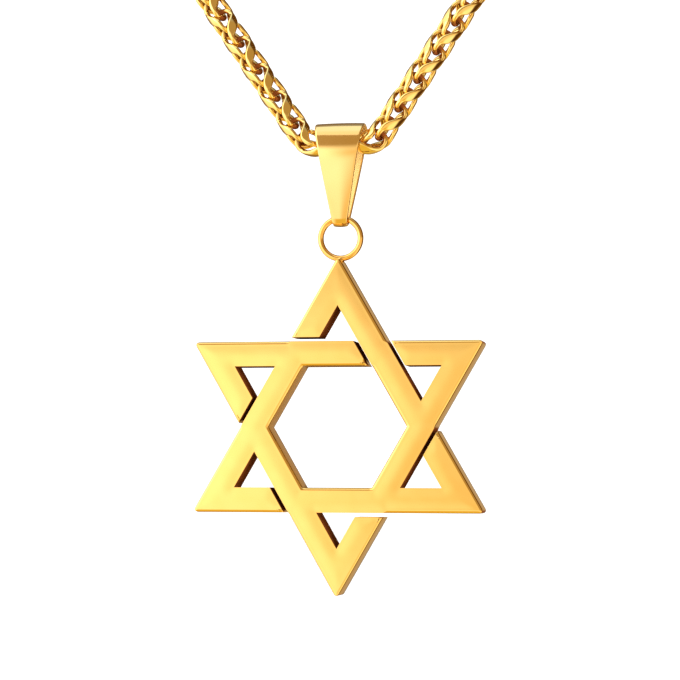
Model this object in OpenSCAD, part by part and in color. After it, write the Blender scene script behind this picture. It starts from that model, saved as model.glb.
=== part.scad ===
// A star pendant on a folded bail, on a whole loop of chain closed by a clasp at the nape.
// The origin is where the clasp lies against the nape. +Z is up and the wearer faces -Y.

/* [Star] */
// Distance from the star's centre to the outer edge of a bar
star_apothem = 8.6; // [7:0.1:12]
// Width of each bar of the two triangles
bar_w = 2.5; // [1.5:0.1:3]
// Thickness of the plate
plate_t = 3; // [1.5:0.1:4]
// Rounding radius of the six tips
tip_r = 0.35; // [0.1:0.05:0.8]
// Width of the saw cuts beside the bars that pass over
cut_w = 0.4; // [0.2:0.05:0.6]

/* [Ring] */
// Radius of the ring at the middle of its wire
ring_r = 2.05; // [1.7:0.05:3]
// Diameter of the ring's wire
ring_wire_d = 0.6; // [0.4:0.05:0.8]
// Width of the closed joint between the ring's two ends
joint_w = 0.06; // [0.02:0.01:0.2]
// How far the joint lies from the ring's highest point, in degrees
joint_angle = 12; // [0:1:20]
// Diameter of the solder bead between ring and star
bead_d = 0.8; // [0.7:0.05:1.2]
// How deep the star's tip is let into the ring's wire
tip_let_in = 0.1; // [0.05:0.01:0.2]

/* [Bail] */
// Width of the folded strip at the top
bail_top_w = 5.2; // [4:0.1:7]
// Width of the folded strip at its foot
bail_foot_w = 1.4; // [1:0.1:1.8]
// Height of the bail
bail_h = 10.5; // [9:0.1:14]
// Thickness of the strip
bail_t = 0.3; // [0.2:0.05:0.5]
// Gap between the chain and the inside of the fold
chain_gap = 0.2; // [0.15:0.05:0.6]
// Gap between the ring's wire and the inside of the foot
ring_gap = 0.08; // [0.04:0.01:0.2]

/* [Chain] */
// Width of the chain
chain_d = 3; // [2:0.1:3.4]

/* [Clasp] */
// Length of the clasp
clasp_l = 12; // [8:0.5:16]
// Diameter of the clasp
clasp_d = 4; // [3.5:0.1:6]
// Bevel at each end of the clasp
clasp_bevel = 0.4; // [0.1:0.1:0.8]
// Gap between the clasp and each end of the chain
end_gap = 0.1; // [0.05:0.05:0.3]

/* [Hidden] */
$fn = 64;

// The chain's lowest point, where the bail hangs: the middle of everything that swings
drop = [0, -98, -187];

// The right half of the chain's route, from the bail up the chest and round to the clasp
half_route = [
    drop,
    drop + [bail_top_w / 4, 0, 0],
    drop + [bail_top_w / 2 - 0.1, 0, 0],
    drop + [bail_top_w / 2 + 0.6, 0, 0.15],
    drop + [bail_top_w / 2 + 1.2, 0, 0.5],
    drop + [bail_top_w / 2 + 1.7, 0, 1.1],
    [6.6, -98, -182.5],
    [10.7, -98, -176.4],
    [13, -98, -173],
    [20, -97.5, -162.5],
    [28, -96.5, -149.5],
    [36, -94.5, -135],
    [43.5, -91.5, -119.5],
    [50, -87.5, -103],
    [55.5, -82, -86],
    [59.5, -75, -69.5],
    [62, -66, -53.5],
    [62.5, -54, -38.5],
    [60, -40.5, -25.5],
    [54, -27, -15],
    [45, -14.5, -7.5],
    [33.5, -5.5, -3],
    [20, 0, -0.5],
    [clasp_l / 2 + end_gap, clasp_d / 2, 0]
];
// A point inside the loop, from which the tube's rings are turned
loop_middle = [0, -50, -80];
// Stretches of the route longer than this get one ring more, halfway
long_stretch = 9;
tube_sides = 8;
// How far a saw cut nicks the edge of the bar that passes over
saw_nick = 0.02;
tip_steps = 6;
fold_steps = 24;

// Sizes that follow from the ones above
inner_apothem = star_apothem - bar_w;
fold_r = chain_d / 2 + chain_gap;
bail_top_z = fold_r + bail_t;
// Half the strip's width where the ring's wire lies in the foot
foot_half_w = bail_foot_w / 2 + bail_t * (bail_top_w - bail_foot_w) / 2 / bail_h;
ring_hole_r = ring_r - ring_wire_d / 2;
// The ring curves down beside the foot, so the foot is rounder than the wire
foot_r = ring_r - sqrt(pow(ring_hole_r, 2) - pow(foot_half_w, 2)) + ring_gap;
ring_top_z = bail_top_z - bail_h + bail_t + foot_r;
ring_z = ring_top_z - ring_r;
star_tip_z = ring_z - ring_r - ring_wire_d / 2 + tip_let_in;
star_z = star_tip_z - (2 * star_apothem - tip_r);

// An equilateral triangle round the origin with rounded corners, one of them towards turn
function rounded_triangle(apothem, r, turn) = [
    for (corner = [turn : 120 : turn + 240])
        for (step = [0 : tip_steps])
            let (a = corner - 60 + 120 * step / tip_steps)
            2 * (apothem - r) * [cos(corner), sin(corner)] + r * [cos(a), sin(a)]
];

// The same triangle with sharp corners
function sharp_triangle(apothem, turn) = [
    for (corner = [turn : 120 : turn + 240]) 2 * apothem * [cos(corner), sin(corner)]
];

// Turns a flat outline drawn in X and Y into a slab that stands in the XZ plane, round y = 0
module standing(thickness) {
    rotate([90, 0, 0])
        linear_extrude(thickness, center = true) children();
}

module triangle_frame(turn) {
    difference() {
        polygon(rounded_triangle(star_apothem, tip_r, turn));
        polygon(sharp_triangle(inner_apothem, turn));
    }
}

// A saw cut between two heights, across the bar that leans from there to the left
module saw_cut(low, high) {
    left = (star_apothem - low / 2) / cos(30) + cut_w;
    right = (inner_apothem - high / 2) / cos(30) - cut_w;
    translate([-left, low]) square([left - right, high - low]);
}

module star() {
    standing(plate_t) difference() {
        union() {
            triangle_frame(90);
            triangle_frame(270);
        }
        for (side = [0 : 5])
            rotate(-60 * side) saw_cut(star_apothem - saw_nick, star_apothem + cut_w);
        // The bar at the upper right also has a cut on its inner side
        rotate(-60) saw_cut(inner_apothem - cut_w, inner_apothem + saw_nick);
    }
}

module ring() {
    difference() {
        rotate([90, 0, 0]) rotate_extrude() translate([ring_r, 0]) circle(ring_wire_d / 2);
        rotate([0, -joint_angle, 0])
            translate([-joint_w / 2, -ring_wire_d, ring_r - ring_wire_d])
            cube([joint_w, 2 * ring_wire_d, 2 * ring_wire_d]);
    }
}

module star_with_ring() {
    color("gold") translate(drop) {
        translate([0, 0, star_z]) star();
        translate([0, 0, ring_z]) ring();
        translate([0, 0, star_tip_z]) sphere(d = bead_d);
    }
}

// A teardrop outline: an arc of top_r round the chain and one of low_r round the ring's wire,
// with straight sides that touch both
function teardrop(top_r, low_r) =
    let (lean = asin((top_r - low_r) / -ring_top_z))
    concat(
        [for (step = [0 : fold_steps])
            let (a = lean + (180 - 2 * lean) * step / fold_steps)
            top_r * [cos(a), sin(a)]],
        [for (step = [0 : fold_steps])
            let (a = 180 - lean + (180 + 2 * lean) * step / fold_steps)
            [0, ring_top_z] + low_r * [cos(a), sin(a)]]
    );

module bail() {
    foot_z = bail_top_z - bail_h;
    color("gold") translate(drop) intersection() {
        rotate([90, 0, 90]) linear_extrude(2 * bail_top_w, center = true) difference() {
            polygon(teardrop(fold_r + bail_t, foot_r + bail_t));
            polygon(teardrop(fold_r, foot_r));
        }
        standing(4 * bail_top_z) polygon([
            [-bail_top_w / 2, bail_top_z],
            [-bail_foot_w / 2, foot_z],
            [bail_foot_w / 2, foot_z],
            [bail_top_w / 2, bail_top_z]
        ]);
    }
}

function mirrored(p) = [-p[0], p[1], p[2]];
function unit(v) = v / norm(v);

// The whole route, from the clasp's left end round the front to its right end
last = len(half_route) - 1;
route = concat(
    [for (i = [last : -1 : 1]) mirrored(half_route[i])],
    half_route
);

// The point halfway between route points i and i + 1, on a smooth curve through the route
function halfway(i) =
    let (before = route[max(i - 1, 0)], after = route[min(i + 2, len(route) - 1)])
    (9 * (route[i] + route[i + 1]) - before - after) / 16;

ring_points = [
    for (i = [0 : len(route) - 1])
        each i < len(route) - 1 && norm(route[i + 1] - route[i]) > long_stretch
            ? [route[i], halfway(i)]
            : [route[i]]
];

// One ring of the tube: a polygon square to the route, its corners counted from the loop's middle.
// At its two ends the route runs along X, out of the clasp and into it again.
function tube_ring(i) =
    let (
        end = len(ring_points) - 1,
        along = i == 0 || i == end
            ? [-1, 0, 0]
            : unit(ring_points[i + 1] - ring_points[i - 1]),
        across = unit(cross(along, ring_points[i] - loop_middle)),
        out = cross(across, along)
    )
    [for (k = [0 : tube_sides - 1])
        let (a = 360 * (k + 0.5) / tube_sides)
        ring_points[i] + chain_d / 2 * (cos(a) * out + sin(a) * across)];

module chain() {
    rings = len(ring_points);
    walls = [for (i = [0 : rings - 2]) for (k = [0 : tube_sides - 1])
        let (n = (k + 1) % tube_sides, low = i * tube_sides, high = low + tube_sides)
        [low + k, high + k, high + n, low + n]];
    first_end = [for (k = [0 : tube_sides - 1]) k];
    last_end = [for (k = [tube_sides - 1 : -1 : 0]) (rings - 1) * tube_sides + k];
    color("gold") polyhedron(
        points = [for (i = [0 : rings - 1]) each tube_ring(i)],
        faces = concat([first_end, last_end], walls),
        convexity = 8
    );
}

module clasp() {
    r = clasp_d / 2;
    color("gold") translate([-clasp_l / 2, r, 0]) rotate([90, 0, 90])
        rotate_extrude() polygon([
            [0, 0],
            [r - clasp_bevel, 0],
            [r, clasp_bevel],
            [r, clasp_l - clasp_bevel],
            [r - clasp_bevel, clasp_l],
            [0, clasp_l]
        ]);
}

star_with_ring();
bail();
chain();
clasp();
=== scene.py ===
import math

import bpy
import numpy as np
from mathutils import Euler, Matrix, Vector
from mathutils.geometry import delaunay_2d_cdt


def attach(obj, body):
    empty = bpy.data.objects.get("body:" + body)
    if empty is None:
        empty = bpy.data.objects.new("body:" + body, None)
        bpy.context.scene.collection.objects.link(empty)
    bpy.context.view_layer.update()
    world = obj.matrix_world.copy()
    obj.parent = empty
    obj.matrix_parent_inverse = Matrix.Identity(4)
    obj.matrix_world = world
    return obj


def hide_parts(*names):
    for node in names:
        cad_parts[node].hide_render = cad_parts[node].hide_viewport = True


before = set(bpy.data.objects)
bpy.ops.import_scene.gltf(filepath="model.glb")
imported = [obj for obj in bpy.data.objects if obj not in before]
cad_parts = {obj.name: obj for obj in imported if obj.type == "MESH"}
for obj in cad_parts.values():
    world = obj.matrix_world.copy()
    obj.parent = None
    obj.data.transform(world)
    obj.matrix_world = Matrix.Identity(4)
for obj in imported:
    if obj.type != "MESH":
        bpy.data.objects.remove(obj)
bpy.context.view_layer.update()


# Where the photographer stood: a little to the pendant's right and just below it, with a long
# lens, so that the right walls of the star's bars and the underside of the bail's fold are seen.
lens_px = 2200.0
photo_px = 680.0
camera_data = bpy.data.cameras.new("photo_camera")
camera_data.sensor_width = 36.0
camera_data.lens = 36.0 * lens_px / photo_px
camera_data.clip_start = 0.01
camera = bpy.data.objects.new("photo_camera", camera_data)
camera.location = (0.04316, -0.31534, -0.22224)
camera.rotation_euler = Euler((math.radians(90.0 + 3.93), math.radians(-0.26), math.radians(11.22)), "XYZ")
bpy.context.scene.collection.objects.link(camera)
bpy.context.scene.camera = camera


# The star: one flat plate, pierced and sawn so that it reads as two crossed triangles, its front
# and back faces slightly crowned by polishing and every edge softly broken before plating.
millimetre = 0.001
star_middle = np.array([0.0, -98.0, -215.799])
plate_thickness = 3.0
bar_outer = 8.6
bar_inner = 6.1
saw_width = 0.4
tip_round = 0.35
broken_edge = 0.28
sawn_edge = 0.01
crown_rise = 0.016


class Value:
    """A number that varies over a surface; arithmetic on it adds Math nodes to its material."""

    def __init__(self, finish, socket):
        self.finish = finish
        self.socket = socket

    def math(self, operation, *others, swapped=False):
        terms = [self, *others]
        if swapped:
            terms.reverse()
        node = self.finish.node("Math", {"operation": operation}, dict(enumerate(terms)))
        return self.finish.out(node)

    def __add__(self, other):
        return self.math("ADD", other)

    def __sub__(self, other):
        return self.math("SUBTRACT", other)

    def __rsub__(self, other):
        return self.math("SUBTRACT", other, swapped=True)

    def __mul__(self, other):
        return self.math("MULTIPLY", other)

    __radd__ = __add__
    __rmul__ = __mul__

    def ramp(self, low, high):
        """0 below low, 1 above high, with a smooth rise between."""
        eased = {"interpolation_type": "SMOOTHSTEP"}
        return self.finish.out(self.finish.node("MapRange", eased, {0: self, 1: low, 2: high}))


class Finish:
    """The node tree of one finish; every node comes from node()."""

    def __init__(self, tree):
        self.tree = tree
        tree.nodes.clear()

    def node(self, kind, settings=None, values=None):
        node = self.tree.nodes.new("ShaderNode" + kind)
        for name, setting in (settings or {}).items():
            setattr(node, name, setting)
        for name, value in (values or {}).items():
            if isinstance(value, Value):
                self.tree.links.new(value.socket, node.inputs[name])
            else:
                node.inputs[name].default_value = value
        return node

    def out(self, node, name=0):
        return Value(self, node.outputs[name])

    def mix(self, factor, first, second):
        """A colour between first and second."""
        node = self.node("Mix", {"data_type": "RGBA"}, {0: factor, 6: first, 7: second})
        return self.out(node, 2)

    def noise(self, place, scale, detail=2.0):
        node = self.node("TexNoise", None, {"Vector": place, "Scale": scale, "Detail": detail})
        return self.out(node, 0)


def gold(name, tone, shade, roughness, wave, scratch, grain=(1.0, 1.0, 1.0), shade_and_dull_colour=None):
    """Polished gold plating. Broad noise makes the slow waviness of hand polishing and drifts the
    tone a little, and drawn-out fine noise makes buffing hairlines. Given a colour for recesses, a
    second, dull shader of that colour takes over where the mesh's 'recess' attribute rises to 1:
    a dark colour there is painted shade in cuts and between parts, a gold one a dull, unpolished face."""
    material = bpy.data.materials.new(name)
    material.use_nodes = True
    finish = Finish(material.node_tree)
    place = finish.out(finish.node("TexCoord"), "Object")
    in_mm = finish.out(finish.node("VectorMath", {"operation": "SCALE"}, {0: place, 3: 1000.0}))
    drawn = finish.out(finish.node("Mapping", None, {"Vector": in_mm, "Scale": grain}))
    broad = finish.noise(in_mm, 0.45, 1.0)
    hairline = finish.noise(drawn, 9.0, 4.0)
    cloud = finish.noise(in_mm, 1.7, 3.0)
    colour = finish.mix(broad.ramp(0.3, 0.7), tone, shade)
    worn = roughness + (hairline - 0.5) * (roughness * 0.5) + (cloud - 0.5) * (roughness * 0.25)
    height = broad * wave + hairline * scratch
    bump = finish.node("Bump", None, {"Strength": 1.0, "Distance": 0.001, "Height": height})
    shader = finish.node("BsdfPrincipled", None, {
        "Base Color": colour,
        "Roughness": worn,
        "Metallic": 1.0,
        "Normal": finish.out(bump),
    })
    surface = finish.out(shader)
    if shade_and_dull_colour:
        recess = finish.out(finish.node("Attribute", {"attribute_name": "recess"}), "Fac")
        deep = (recess * (0.85 + cloud * 0.3)).ramp(0.05, 1.0)
        # the dull shader's colour: dark painted shade in the star's cuts and between chain links, plain dull
        # gold inside the bail
        dull = finish.node("BsdfPrincipled", None, {
            "Base Color": finish.mix(cloud, shade_and_dull_colour, [0.7 * part for part in shade_and_dull_colour[:3]] + [1]),
            "Roughness": 0.65 + cloud * 0.2,
            "Specular IOR Level": 0.0,
        })
        both = finish.node("MixShader", None, {0: deep, 1: surface, 2: finish.out(dull)})
        surface = finish.out(both)
    finish.node("OutputMaterial", None, {0: surface})
    return material


def piece(name, points, faces, material, body, recess=None):
    """A mesh object from points in millimetres, its place in its vertices, riding on a body. Each
    point's recess, from 0 on the polished outside to 1 in the deepest corner, goes with it."""
    mesh = bpy.data.meshes.new(name)
    mesh.from_pydata((np.asarray(points) * millimetre).tolist(), [], [list(f) for f in faces])
    mesh.update()
    mesh.polygons.foreach_set("use_smooth", np.ones(len(mesh.polygons), bool))
    mesh.materials.append(material)
    if recess is not None:
        mesh.attributes.new("recess", "FLOAT", "POINT").data.foreach_set("value", np.float32(recess))
    made = bpy.data.objects.new(name, mesh)
    bpy.context.scene.collection.objects.link(made)
    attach(made, body)
    return made


def heading(degrees):
    """The unit vector that many degrees round from the right, counted upwards."""
    turn = np.radians(degrees)
    return np.array([np.cos(turn), np.sin(turn)])


def crossing(first, first_reach, second, second_reach):
    """Where two straight edges of the plate cross, each given by the direction it faces and its
    distance from the star's middle."""
    return np.linalg.solve(np.array([heading(first), heading(second)]), [first_reach, second_reach])


# the plate's edge is one unbroken line: round a tip, down to the saw cut, through it into the
# small window behind the next tip, out again and on; once on the way it goes round the middle
edge = []
for turn in range(6):
    tip = 90 - 60 * turn
    facing = tip - 60
    for sweep in np.linspace(60, -60, 9):
        edge.append((bar_outer - tip_round) * 2 * heading(tip) + tip_round * heading(tip + sweep))
    if facing == -270:
        edge.append(crossing(90, bar_outer, 30, bar_inner - saw_width))
        edge.append(crossing(90, bar_inner, 30, bar_inner - saw_width))
        for corner in (120, 180, 240, 300, 360):
            edge.append(bar_inner / math.cos(math.radians(30)) * heading(corner))
    else:
        edge.append(crossing(facing, bar_outer, facing - 60, bar_inner))
    edge.append(2 * bar_inner * heading(facing))
    edge.append(crossing(facing, bar_outer + saw_width, facing + 60, bar_inner))
    edge.append(crossing(facing, bar_outer + saw_width, facing + 60, bar_outer))
edge = np.array(edge)
# long straight stretches are cut into even steps, for an even join with the faces' grid
edge_step = 0.4
stretch = np.linalg.norm(np.roll(edge, -1, 0) - edge, axis=1)
parts = np.maximum(1, np.round(stretch / edge_step)).astype(int)
from_corner = np.repeat(np.arange(len(edge)), parts)
steps_done = np.arange(len(from_corner)) - np.repeat(np.cumsum(parts) - parts, parts)
passed = (steps_done / np.repeat(parts, parts))[:, None]
edge = edge[from_corner] * (1 - passed) + np.roll(edge, -1, 0)[from_corner] * passed


def inset(outline, depth):
    """The outline moved into the metal: each corner goes along the sum of its two edges' inward
    normals, divided by one plus their dot product, so that both edges move by the same depth."""
    along = np.roll(outline, -1, 0) - outline
    along /= np.linalg.norm(along, axis=1, keepdims=True)
    inward = np.stack([along[:, 1], -along[:, 0]], 1)
    before = np.roll(inward, 1, 0)
    return outline + depth * (inward + before) / (1 + np.sum(inward * before, 1, keepdims=True))


def reach_from(points, outline):
    """Distance to the outline, as a soft minimum over its straight edges, for every point."""
    start, along = outline, np.roll(outline, -1, 0) - outline
    share = np.einsum("pek,ek->pe", points[:, None] - start, along) / np.sum(along ** 2, 1)
    nearest = start + np.clip(share, 0, 1)[..., None] * along
    gap = np.linalg.norm(points[:, None] - nearest, axis=2)
    softness = 0.08
    return -softness * np.log(np.exp(-gap / softness).sum(1))


def within(points, outline):
    """Which points lie inside the outline: those whose ray to the right crosses it an odd time."""
    here, there = outline, np.roll(outline, -1, 0)
    straddles = (here[:, 1] > points[:, 1:2]) != (there[:, 1] > points[:, 1:2])
    rise = np.where(there[:, 1] == here[:, 1], 1.0, there[:, 1] - here[:, 1])
    cut = here[:, 0] + (points[:, 1:2] - here[:, 1]) * (there[:, 0] - here[:, 0]) / rise
    return (straddles & (cut > points[:, :1])).sum(1) % 2 == 1


# the walls of windows and saw cuts are left as sawn, dull and barely broken at the edge, and are
# painted dark as shade inside the cuts; they begin where the outline leaves the outer edge of
# whichever triangle reaches further there; the walls of the six-sided middle window get a little under half
# that painted shade
sawn_from = 0.15
middle_wall_shade = 0.4
middle_slack = 0.1
sides = np.stack([heading(30 + 60 * k) for k in range(6)])
facing_out = bar_outer - edge @ sides.T
inside = np.maximum(facing_out[:, [0, 2, 4]].min(1), facing_out[:, [1, 3, 5]].min(1))
sawn = np.clip(inside / sawn_from, 0, 1)
middle_corner = bar_inner / math.cos(math.radians(30))
hexagon = np.linalg.norm(edge, axis=1) < middle_corner + middle_slack
wall_painted_shade = np.where(hexagon, middle_wall_shade, sawn)
breaking = np.where(hexagon, broken_edge, broken_edge + (sawn_edge - broken_edge) * sawn)

# grid points of the polished faces, kept clear of the broken edge, then one triangulation that
# takes the innermost ring of the edge as its border
pitch = 0.25
edge_margin = 0.04
grid_clearance = 0.14
columns, rows = np.meshgrid(np.arange(-70, 71), np.arange(-80, 81))
cells = np.stack([(columns + 0.5 * (rows % 2)) * pitch, rows * pitch * math.sqrt(0.75)], -1).reshape(-1, 2)
cells = cells[within(cells, edge)]
face_ring = inset(edge, breaking[:, None] + edge_margin)
cells = cells[reach_from(cells, face_ring) > grid_clearance]
flat = np.concatenate([face_ring, cells])
border = [(i, (i + 1) % len(edge)) for i in range(len(edge))]
solved = delaunay_2d_cdt([Vector(p) for p in flat], border, [], 1, 1e-6, True)
sheet_flat = np.array([tuple(v) for v in solved[0]])
sheet_faces = np.array(solved[2])
sheet_faces = sheet_faces[within(sheet_flat[sheet_faces].mean(1), face_ring)]
first_of = {given: k for k, all_given in enumerate(solved[3]) for given in all_given}
ring_at = np.array([first_of[i] for i in range(len(edge))])
# the crown rises within this reach of the edge and is level further in
crown_reach = 1.25
middle_reach = np.clip(reach_from(sheet_flat, face_ring), 0, crown_reach) / crown_reach
middle_reach[ring_at] = 0
face_rise = crown_rise * (1 - (1 - middle_reach) ** 2)
face_rise -= face_rise.max()
half_plate = plate_thickness / 2
rim_rise = face_rise[ring_at]
bevel = np.radians([90, 78, 60, 42, 24, 0])
rings = [np.column_stack([inset(edge, (breaking * (1 - math.cos(a)))[:, None]),
                          breaking * (1 - math.sin(a)) - half_plate - rim_rise])
         for a in bevel]
walls = np.concatenate(rings + [ring * [1, 1, -1] for ring in rings[::-1]])
front_face = np.column_stack([sheet_flat, -half_plate - face_rise])
back_face = np.column_stack([sheet_flat, half_plate + face_rise])
on_face = len(front_face)
star_points = np.concatenate([front_face, back_face, walls])
wall_at = 2 * on_face + np.arange(len(walls)).reshape(-1, len(edge))
levels = np.vstack([ring_at, wall_at, ring_at + on_face])
nearer, further = levels[:-1], levels[1:]
skirt = np.stack([nearer, np.roll(nearer, -1, 1), np.roll(further, -1, 1), further], -1).reshape(-1, 4)
star_faces = sheet_faces.tolist() + (sheet_faces[:, ::-1] + on_face).tolist() + skirt.tolist()
# how much painted shade each point gets: none on the faces, rising over the bevel into each wall
fade = (np.arange(len(rings)) / (len(rings) - 1)) ** 2
star_painted_shade = np.concatenate([np.zeros(2 * on_face)] + [wall_painted_shade * f for f in fade]
                             + [wall_painted_shade * f for f in fade[::-1]])
star_points = star_middle + star_points[:, [0, 2, 1]]
# the plate's dark crevice colour is painted shade on the walls of the cuts and windows
polished = gold("polished_plate", (1.0, 0.66, 0.195, 1), (1.0, 0.64, 0.18, 1), 0.07, 0.004, 0.0001,
                grain=(1.0, 1.0, 0.16), shade_and_dull_colour=(0.13, 0.03, 0.006, 1))
star = piece("star", star_points, star_faces, polished, "star", star_painted_shade)
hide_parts("star_with_ring")


# The ring above the star: round wire bent closed, its two ends butted a little out of line on the
# upper left, and soldered to the star's tip with one small bead.
ring_radius = 2.05
ring_wire = 0.6
ring_middle = np.array([0.0, -98.0, -196.6992])
star_tip = np.array([0.0, -98.0, -198.9491])
joint_width = 0.06


def tube(path, radius, across, out, sides):
    """A wire along a path: at each point a circle of that point's radius in the plane of the two unit
    vectors across and out, with neighbouring circles joined by four-sided faces and flat ends."""
    angle = np.arange(sides) * 2 * np.pi / sides
    skin = (path[:, None]
            + (radius[:, None] * np.cos(angle))[..., None] * across[:, None]
            + (radius[:, None] * np.sin(angle))[..., None] * out[:, None])
    index = np.arange(len(path) * sides).reshape(-1, sides)
    nearer, further = index[:-1], index[1:]
    faces = np.stack([nearer, np.roll(nearer, -1, 1), np.roll(further, -1, 1), further], -1).reshape(-1, 4)
    ends = [index[0, ::-1].tolist(), index[-1].tolist()]
    return skin.reshape(-1, 3), faces.tolist() + ends


# the joint lies 12 degrees left of the ring's highest point; near it the two ends stray from the
# circle, one in and one out, and are a little thinner
joint_bearing = 102
end_stray = 0.07
end_thinning = 0.12
wire_steps = 97
half_joint = math.degrees(joint_width / 2 / ring_radius)
swing = np.radians(np.linspace(joint_bearing + half_joint, joint_bearing + 360 - half_joint, wire_steps))
endward = np.linspace(-1, 1, wire_steps)
near_end = np.abs(endward) ** 12
radial = np.stack([np.cos(swing), np.zeros(wire_steps), np.sin(swing)], 1)
ring_path = ring_middle + (ring_radius + end_stray * endward * near_end)[:, None] * radial
wire_radius = ring_wire / 2 * (1 - end_thinning * near_end ** 8)
ring_out = np.tile([0.0, -1.0, 0.0], (wire_steps, 1))
ring_points, ring_faces = tube(ring_path, wire_radius, radial, ring_out, 24)
wire_gold = gold("drawn_wire", (1.0, 0.64, 0.19, 1), (0.98, 0.57, 0.15, 1), 0.07, 0.004, 0.0002)
piece("ring", ring_points, ring_faces, wire_gold, "star")

# the bead: a lumpy ball in rows from its top point to its bottom point and columns round it
bead_radius = 0.4
ball_rows, ball_columns = 17, 32
polar, azimuth = np.meshgrid(np.linspace(0, np.pi, ball_rows),
                             np.linspace(0, 2 * np.pi, ball_columns + 1)[:-1], indexing="ij")
blob = np.stack([np.sin(polar) * np.cos(azimuth), np.sin(polar) * np.sin(azimuth), np.cos(polar)], -1)
lump = bead_radius * (1 + 0.06 * np.sin(3 * azimuth + 1) * np.sin(polar) ** 2 + 0.05 * np.cos(2 * polar))
bead_points = star_tip + blob * lump[..., None]
ball_at = np.arange(polar.size).reshape(polar.shape)
upper, lower = ball_at[1:-2], ball_at[2:-1]
belts = np.stack([upper, lower, np.roll(lower, -1, 1), np.roll(upper, -1, 1)], -1).reshape(-1, 4)
cap = np.stack([np.full(ball_columns, ball_at[0, 0]), ball_at[1], np.roll(ball_at[1], -1)], -1)
base = np.stack([np.full(ball_columns, ball_at[-1, 0]), np.roll(ball_at[-2], -1), ball_at[-2]], -1)
bead_faces = belts.tolist() + cap.tolist() + base.tolist()
# the spare copies of the top and bottom points are left out
used = np.unique(np.concatenate([np.ravel(f) for f in bead_faces]))
renumber = np.full(ball_at.size, -1)
renumber[used] = np.arange(len(used))
bead_faces = [[int(renumber[k]) for k in face] for face in bead_faces]
piece("solder_bead", bead_points.reshape(-1, 3)[used], bead_faces, wire_gold, "star")


# The bail: one strip of gold sheet, wide over the chain and narrow at the foot, folded over like
# a drop and closed round the star's ring, its edges and top corners softened by polishing.
bail_line = np.array([0.0, -98.0, -187.0])
fold_radius = 1.85
foot_radius = 0.7009
foot_drop = 7.6491
bail_sheet = 0.3
strip_top, strip_foot = 5.2, 1.4
leaf_bow = 0.14
strip_crown = 0.05
foot_level = -8.5
bail_height = 10.5
drop_steps = 240
lean = math.asin((fold_radius - foot_radius) / foot_drop)
# the drop's line in even steps: over the fold, down the back, round the foot and up the front
fold = np.linspace(-lean, np.pi + lean, 97)
foot = np.linspace(np.pi + lean, 2 * np.pi - lean, 49)
arc_fold = fold_radius * np.stack([np.cos(fold), np.sin(fold)], 1)
arc_foot = foot_radius * np.stack([np.cos(foot), np.sin(foot)], 1) - [0, foot_drop]
drop_line = np.concatenate([arc_fold, arc_foot, arc_fold[:1]])
round_drop = np.concatenate([[0], np.cumsum(np.linalg.norm(np.diff(drop_line, axis=0), axis=1))])
even = np.linspace(0, round_drop[-1], drop_steps, endpoint=False)
drop_path = np.stack([np.interp(even, round_drop, drop_line[:, k]) for k in range(2)], 1)
# each leaf bows out a little, most of it near the fold
down = np.clip((arc_fold[0, 1] - drop_path[:, 1]) / (arc_fold[0, 1] - arc_foot[0, 1]), 0, 1)
drop_path[:, 0] += np.sign(drop_path[:, 0]) * leaf_bow * np.sin(np.pi * down ** 0.7)
# the fold runs out gently into the leaves: there the line is averaged over its neighbours with
# bell-shaped weights as wide as averaging, which in waves round the closed line is one product;
# this fades in up the leaves and out again towards the top of the fold
averaging = 0.75
fade_in_from, fade_in_over = -5, 3
fade_out_to, fade_out_over = 1.7, 1.5
waves = np.fft.fftfreq(drop_steps, round_drop[-1] / drop_steps) * 2 * np.pi
weights = np.exp(-(averaging * waves) ** 2 / 2)
averaged = np.fft.ifft(np.fft.fft(drop_path[:, 0] + 1j * drop_path[:, 1]) * weights)
blend = (np.clip((drop_path[:, 1] - fade_in_from) / fade_in_over, 0, 1)
         * np.clip((fade_out_to - drop_path[:, 1]) / fade_out_over, 0, 1))
blend = (blend ** 2 * (3 - 2 * blend))[:, None]
drop_path = drop_path * (1 - blend) + np.stack([averaged.real, averaged.imag], 1) * blend
ahead = np.roll(drop_path, -1, 0) - np.roll(drop_path, 1, 0)
outward = np.stack([ahead[:, 1], -ahead[:, 0]], 1) / np.linalg.norm(ahead, axis=1, keepdims=True)
# the strip widens evenly from foot to top, and its top corners are taken off a little
corner_cut, corner_from, corner_over = 0.1, 1.5, 0.5
height = drop_path[:, 1]
wide = (strip_foot + (strip_top - strip_foot) * ((height - foot_level) / bail_height)) / 2
wide = wide - corner_cut * np.clip((height - corner_from) / corner_over, 0, 1) ** 2
# the strip's section: slightly crowned, with round edges, as pairs of side and thickness
turns = np.radians(np.arange(0, 180, 22.5) + 11.25 - 90)
rim = bail_sheet / 2
flats = np.array([0.98, 0.92, 0.75, 0.5, 0.25, 0.0, -0.25, -0.5, -0.75, -0.92, -0.98])
crown = strip_crown * (1 - flats ** 2)
section_side = np.concatenate([np.ones(8), flats, -np.ones(8), -flats])
section_round = np.concatenate([rim * np.cos(turns), 0 * flats, -rim * np.cos(turns), 0 * flats])
section_thick = np.concatenate([rim * np.sin(turns), rim + crown, -rim * np.sin(turns), crown - rim])
sideways_at = (wide - rim)[:, None] * section_side + section_round
strip_skin = drop_path[:, None] + section_thick[:, None] * outward[:, None]
bail_points = bail_line + np.stack([sideways_at, -strip_skin[..., 0], strip_skin[..., 1]], -1).reshape(-1, 3)
strip_at = np.arange(sideways_at.size).reshape(sideways_at.shape)
next_at = np.roll(strip_at, -1, 0)
bail_faces = np.stack([strip_at, next_at, np.roll(next_at, -1, 1), np.roll(strip_at, -1, 1)], -1)
sheet_gold = gold("polished_sheet", (1.0, 0.68, 0.25, 1), (1.0, 0.67, 0.24, 1), 0.09, 0.004, 0.0001,
                  grain=(0.2, 1.0, 1.0), shade_and_dull_colour=(1.0, 0.7, 0.27, 1))
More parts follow.
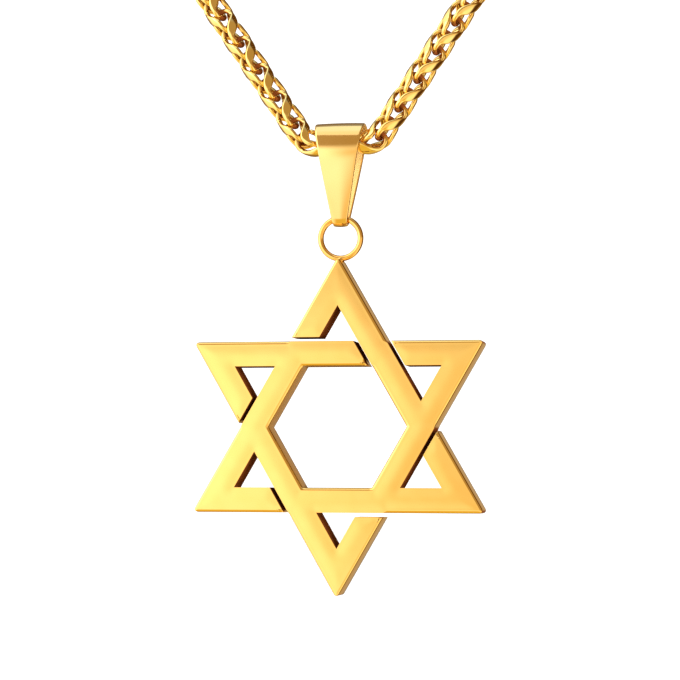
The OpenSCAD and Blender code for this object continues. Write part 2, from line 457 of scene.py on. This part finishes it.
# the inner face comes last in the section, and is left dull
inner_recess = 0.9
strip_recess = np.concatenate([np.zeros(8 + len(flats) + 8), inner_recess * np.ones(len(flats))])
bail_recess = np.tile(strip_recess, len(sideways_at))
bail = piece("bail", bail_points, bail_faces.reshape(-1, 4).tolist(), sheet_gold, "bail", bail_recess)
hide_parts("bail")


# The chain: wheat links. Each is a soldered oval of wire twisted a quarter turn, so that its top
# lies side to side and its foot front to back; left- and right-twisted ovals alternate, half a
# row apart, each hooked into the next of its own kind, and all their V's point at the bail.
half_route = np.array([
    (0, -98, -187), (1.3, -98, -187), (2.5, -98, -187), (3.2, -98, -186.85), (3.8, -98, -186.5),
    (4.3, -98, -185.9), (6.6, -98, -182.5), (10.7, -98, -176.4), (13, -98, -173), (20, -97.5, -162.5),
    (28, -96.5, -149.5), (36, -94.5, -135), (43.5, -91.5, -119.5), (50, -87.5, -103), (55.5, -82, -86),
    (59.5, -75, -69.5), (62, -66, -53.5), (62.5, -54, -38.5), (60, -40.5, -25.5), (54, -27, -15),
    (45, -14.5, -7.5), (33.5, -5.5, -3), (20, 0, -0.5), (6.1, 2, 0)])
loop_middle = np.array([0.0, -50.0, -80.0])


def eased(points, steps):
    """A smooth line through the points: on each stretch the four points round it are weighted by
    cubics of the share travelled, so that the line's direction carries on from one to the next."""
    padded = np.concatenate([[2 * points[0] - points[1]], points, [2 * points[-1] - points[-2]]])
    t = np.linspace(0, 1, steps, endpoint=False)[:, None, None]
    a, b, c, d = (padded[k:len(padded) - 3 + k] for k in range(4))
    line = 0.5 * (2 * b + (c - a) * t + (2 * a - 5 * b + 4 * c - d) * t ** 2
                  + (3 * b - a - 3 * c + d) * t ** 3)
    return np.concatenate([line.transpose(1, 0, 2).reshape(-1, 3), points[-1:]])


# the last stretch runs on, straight, into the clasp's cup, where the last links are soldered
cup_run = 3.0
route = eased(half_route, 24)
route = np.concatenate([route, route[-1:] + [[-cup_run, 0.0, 0.0]]])
travelled = np.concatenate([[0], np.cumsum(np.linalg.norm(np.diff(route, axis=0), axis=1))])
row_pitch = 3.45
link_wire = 0.52
link_reach = 4.7
link_round = 1.08
end_inset = 0.31
end_run = 0.8
leg_turn = 82
hook_turn = 8
petal_swell = 0.28
petal_squareness = 0.25


def twisted_oval(leg_steps, end_steps):
    """Centre line of one link in its own axes: across, out and along the chain. It starts at the
    middle of the top, swings out to the side, runs down the chain's round surface while its
    bearing turns from the side to the front, and hooks under; the other half is the same line
    turned half round. Beside it, the share of the leg travelled, 0 at the top and 1 at the foot."""
    bend = np.linspace(0, np.pi / 2, end_steps, endpoint=False)
    run = np.linspace(0, 1, leg_steps)
    hook = np.linspace(0, np.pi / 2, end_steps + 1)[1:]
    radius = link_round * np.concatenate([np.sin(bend), np.ones(leg_steps), np.cos(hook)])
    bearing = np.concatenate([0 * bend, leg_turn * (3 * run ** 2 - 2 * run ** 3),
                              leg_turn + hook_turn * np.sin(hook)])
    link_top, link_foot = link_reach - end_inset, end_inset
    along = np.concatenate([link_top - end_run * (1 - np.cos(bend)),
                            link_top - end_run - (link_top - link_foot - 2 * end_run) * run,
                            link_foot + end_run * (1 - np.sin(hook))])
    share = np.concatenate([0 * bend, run, 1 + 0 * hook])
    bearing = np.radians(bearing)
    half = np.stack([radius * np.cos(bearing), radius * np.sin(bearing), along], 1)
    return (np.concatenate([half, half[-2:0:-1] * [-1, -1, 1]]),
            np.concatenate([share, share[-2:0:-1]]))


def link_skin(leg_steps, end_steps, around_link):
    """One link as wire round its centre line. Its section goes from a circle at the ends to a
    broad, flat, square-cornered petal on each leg: the power that cosine and sine are raised to
    falls from one to three quarters. around_link lists the angles of the section's points."""
    line, share = twisted_oval(leg_steps, end_steps)
    ahead = np.roll(line, -1, 0) - np.roll(line, 1, 0)
    ahead /= np.linalg.norm(ahead, axis=1, keepdims=True)
    out = line * [1, 1, 0] + [0, 0, 0.25] * (line[:, 2:] - link_reach / 2)
    out -= np.sum(out * ahead, 1, keepdims=True) * ahead
    out /= np.linalg.norm(out, axis=1, keepdims=True)
    across = np.cross(out, ahead)
    swell = np.sin(np.pi * share[:, None]) ** 1.2
    angle = np.radians(around_link)
    flatness = 1 - petal_squareness * swell
    spread = np.sign(np.cos(angle)) * np.abs(np.cos(angle)) ** flatness
    rise = np.sign(np.sin(angle)) * np.abs(np.sin(angle)) ** flatness
    skin = (line[:, None] + ((link_wire / 2 + petal_swell * swell) * spread)[..., None] * across[:, None]
            + (link_wire / 2 * rise)[..., None] * out[:, None])
    index = np.arange(rise.size).reshape(rise.shape)
    further = np.roll(index, -1, 0)
    faces = np.stack([index, np.roll(index, -1, 1), np.roll(further, -1, 1), further], -1).reshape(-1, 4)
    return skin.reshape(-1, 3), faces


def chain_run(name, first, last, leg_steps, end_steps, around_link, hand):
    """The links of one stretch, every other one a mirror image, bent along the route: a point's
    place along the link becomes distance on the route, and its other two places are measured
    across and out of it there. Out is straight ahead over the chest, and away from the loop's
    middle once the route has turned up towards the neck."""
    shape, faces = link_skin(leg_steps, end_steps, around_link)
    order = np.arange(first, last)
    mirrored = 1 - 2.0 * (order[:, None] % 2)
    turned = np.radians(hand * chain_turn[hand])
    spun_across = np.cos(turned) * mirrored * shape[:, 0] - np.sin(turned) * shape[:, 1]
    spun_out = np.sin(turned) * mirrored * shape[:, 0] + np.cos(turned) * shape[:, 1]
    along = (chain_start + half_row * order)[:, None] + shape[:, 2]
    spot = np.stack([np.interp(along, travelled, route[:, k]) for k in range(3)], -1)
    later = np.stack([np.interp(along + look, travelled, route[:, k]) for k in range(3)], -1)
    sooner = np.stack([np.interp(along - look, travelled, route[:, k]) for k in range(3)], -1)
    ahead = later - sooner
    ahead /= np.linalg.norm(ahead, axis=-1, keepdims=True)
    from_neck = spot - loop_middle
    from_neck /= np.linalg.norm(from_neck, axis=-1, keepdims=True)
    turned_up = np.clip((along - chest_run) / turning_run, 0, 1)[..., None]
    out = np.array([0.0, -1.0, 0.0]) * (1 - turned_up) + from_neck * turned_up
    out -= np.sum(out * ahead, -1, keepdims=True) * ahead
    out /= np.linalg.norm(out, axis=-1, keepdims=True)
    across = np.cross(ahead, out)
    points = spot + spun_across[..., None] * across + spun_out[..., None] * out
    points = points.reshape(-1, 3) * [hand, 1, 1]
    faces = np.where(mirrored[..., None] * hand > 0, faces, faces[:, ::-1])
    faces = (faces + len(shape) * np.arange(len(order))[:, None, None]).reshape(-1, 4)
    # links are painted dark near the chain's middle line, as shade between the links, fading out further
    # from it
    recess = 1 - np.clip((np.hypot(shape[:, 0], shape[:, 1]) - painted_shade_radius) / painted_shade_fade, 0, 1)
    made = piece(name, points, faces.tolist(), chain_gold, "necklace", np.tile(recess, len(order)))
    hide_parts("chain")


# a loose chain turns about its own line, by its own angle on each side
chain_turn = {1: 6.0, -1: 15.0}
look = 0.3
chest_run, turning_run = 45, 50
# within the first radius of the chain's line the links take the chain's dark crevice colour as painted shade
# between links, fading out over the second
painted_shade_radius, painted_shade_fade = 0.45, 0.65
chain_gold = gold("chain_gold", (1.0, 0.73, 0.26, 1), (1.0, 0.7, 0.22, 1), 0.06, 0.004, 0.0002,
                  shade_and_dull_colour=(0.24, 0.06, 0.012, 1))
# each half of the loop is filled from its middle, inside the bail, to just inside the clasp
chain_start = 0.1
into_cup = 0.3
room_for = travelled[-1] - cup_run + into_cup - chain_start - link_reach
links_seen = 36
links_all = round(2 * room_for / row_pitch) + 1
half_row = room_for / (links_all - 1)
fine_section = [0, 30, 42, 50, 65, 90, 115, 130, 138, 150, 180, 225, 270, 315]
plain_section = [30, 90, 150, 210, 330]
for hand, side_name in ((1, "right"), (-1, "left")):
    chain_run("chain_front_" + side_name, 0, links_seen, 15, 7, fine_section, hand)
    chain_run("chain_back_" + side_name, links_seen, links_all, 3, 2, plain_section, hand)


# The clasp at the nape, which the photograph doesn't show: a plain turned barrel with a raised
# collar and a cupped face at each end that the last links are soldered into.
barrel_length = 12.0
barrel_radius = 2.0
clasp_line = np.array([0.0, 2.0, 0.0])
profile = np.array([
    (-0.5, 0.0), (-0.5, 0.3), (-0.485, 0.31), (-0.485, 0.84), (-0.488, 0.88), (-0.483, 0.92),
    (-0.475, 0.95), (-0.46, 0.96), (-0.445, 0.94), (-0.44, 0.9), (-0.437, 0.86), (-0.43, 0.84),
    (-0.42, 0.845), (-0.4, 0.9), (-0.36, 0.96), (-0.3, 0.99), (-0.15, 1.0)])
profile = np.concatenate([profile, [(0.0, 1.0)], profile[::-1] * [-1, 1]])
profile = profile * [barrel_length, barrel_radius]
barrel_sides = 48
round_barrel = np.arange(barrel_sides) * 2 * np.pi / barrel_sides
barrel_skin = np.stack([np.repeat(profile[:, :1], barrel_sides, 1),
                        profile[:, 1:] * np.cos(round_barrel), profile[:, 1:] * np.sin(round_barrel)], -1)
barrel_at = np.arange((len(profile) - 2) * barrel_sides).reshape(-1, barrel_sides)
left_at, right_at = barrel_at[:-1], barrel_at[1:]
hoops = np.stack([left_at, right_at, np.roll(right_at, -1, 1), np.roll(left_at, -1, 1)], -1).reshape(-1, 4)
clasp_faces = hoops.tolist() + [barrel_at[0].tolist(), barrel_at[-1, ::-1].tolist()]
clasp_points = clasp_line + barrel_skin[1:-1].reshape(-1, 3)
clasp = piece("clasp", clasp_points, clasp_faces, wire_gold, "necklace")
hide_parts("clasp")


# The studio: a pale floor, a large soft light overhead and one to the left, and a room bright in
# front on the left and warm on the right, with a brown band above, a dark strip to the right and
# a dim wall behind. Only reflections see the room; the camera and dull places see plain white.
floor_size = 6.0
floor_height = -0.30
floor_corners = [(x * floor_size, y * floor_size, floor_height)
                 for x, y in ((-1, -1), (1, -1), (1, 1), (-1, 1))]
floor_data = bpy.data.meshes.new("floor")
floor_data.from_pydata(floor_corners, [], [(0, 1, 2, 3)])
floor = bpy.data.objects.new("floor", floor_data)
bpy.context.scene.collection.objects.link(floor)
floor_paint = bpy.data.materials.new("floor_paint")
floor_paint.use_nodes = True
paint = Finish(floor_paint.node_tree)
floor_place = paint.out(paint.node("TexCoord"), "Object")
pale = paint.mix(paint.noise(floor_place, 3.0), (0.93, 0.93, 0.93, 1), (0.96, 0.96, 0.96, 1))
coat = paint.node("BsdfPrincipled", None, {"Base Color": pale, "Roughness": 0.9})
paint.node("OutputMaterial", None, {0: paint.out(coat)})
floor_data.materials.append(floor_paint)
floor.visible_glossy = False


def soft_light(name, place, aim, size, power, colour):
    """A soft box with straight sides that faces what it lights."""
    data = bpy.data.lights.new(name, "AREA")
    data.shape = "RECTANGLE"
    data.size, data.size_y = size
    data.energy = power
    data.color = colour
    light = bpy.data.objects.new(name, data)
    light.location = place
    light.rotation_euler = (Vector(aim) - Vector(place)).to_track_quat("-Z", "Y").to_euler()
    bpy.context.scene.collection.objects.link(light)
    return light


soft_light("overhead", (-0.25, -0.5, 0.9), (0, -0.05, -0.2), (0.9, 1.3), 2.8, (0.88, 1.0, 1.16))
soft_light("left_window", (-1.1, -0.8, 0.1), (0, -0.05, -0.2), (0.5, 0.9), 2.5, (1.0, 0.99, 0.95))
# a fill from the right reaches into the bail and the cuts; no polished face mirrors it
fill = soft_light("right_fill", (0.6, -0.45, -0.15), (0, -0.1, -0.2), (0.4, 0.4), 5.5, (1.0, 0.97, 0.9))
fill.visible_glossy = False

world = bpy.data.worlds.new("studio")
bpy.context.scene.world = world
world.use_nodes = True
room = Finish(world.node_tree)
split = room.node("SeparateXYZ", None, {"Vector": room.out(room.node("TexCoord"), "Generated")})
right, behind, up = (room.out(split, k) for k in range(3))
warm_tone = room.mix(up.ramp(-0.06, 0.08), (1.0, 0.7, 0.33, 1), (1.05, 0.92, 0.72, 1))
front_tone = room.mix((0 - right).ramp(0.1, 0.30), warm_tone, (1.62, 1.58, 1.5, 1))
low_tone = room.mix((0 - right).ramp(0.02, 0.2), (1.05, 0.85, 0.6, 1), (1.45, 1.42, 1.4, 1))
front_wall = room.mix((0 - up).ramp(0.0, 0.1), front_tone, low_tone)
sideways = right.math("ABSOLUTE").ramp(0.3, 0.5)
floor_tone = room.mix(sideways, (0.85, 0.62, 0.14, 1), (1.35, 1.25, 1.0, 1))
floorward = room.mix((0 - up).ramp(0.16, 0.45), front_wall, floor_tone)
band = up.ramp(0.03, 0.22) * (1 - (0 - right).ramp(0.3, 0.42))
banded = room.mix(band * 0.95, floorward, (0.45, 0.3, 0.13, 1))
raised = room.mix(up.ramp(0.72, 0.92), banded, (0.45, 0.5, 0.58, 1))
back_tone = room.mix((0 - right).ramp(-0.04, 0.12), (0.5, 0.37, 0.22, 1), (0.28, 0.18, 0.08, 1))
back_high = room.mix(up.ramp(0.3, 0.5), back_tone, (0.22, 0.18, 0.13, 1))
rear = room.mix(behind.ramp(0.2, 0.7), raised, back_high)
sidelong = behind.ramp(-0.32, -0.02) * (1 - behind.ramp(0.55, 0.8))
dark_strip = (right - (0 - up).ramp(-0.05, 0.35) * 0.35).ramp(0.18, 0.45) * sidelong
mirrored_room = room.mix(dark_strip, rear, (0.1, 0.04, 0.008, 1))
ray = room.node("LightPath")
not_mirrored = room.out(ray, "Is Camera Ray") + room.out(ray, "Is Diffuse Ray")
shown = room.mix(not_mirrored, mirrored_room, (1.3, 1.3, 1.3, 1))
glow = room.node("Background", None, {"Color": shown, "Strength": 1.0})
room.node("OutputWorld", None, {0: room.out(glow)})

view = bpy.context.scene.view_settings
view.view_transform = "Standard"
view.look = "None"
view.exposure = 0.0
view.gamma = 1.0
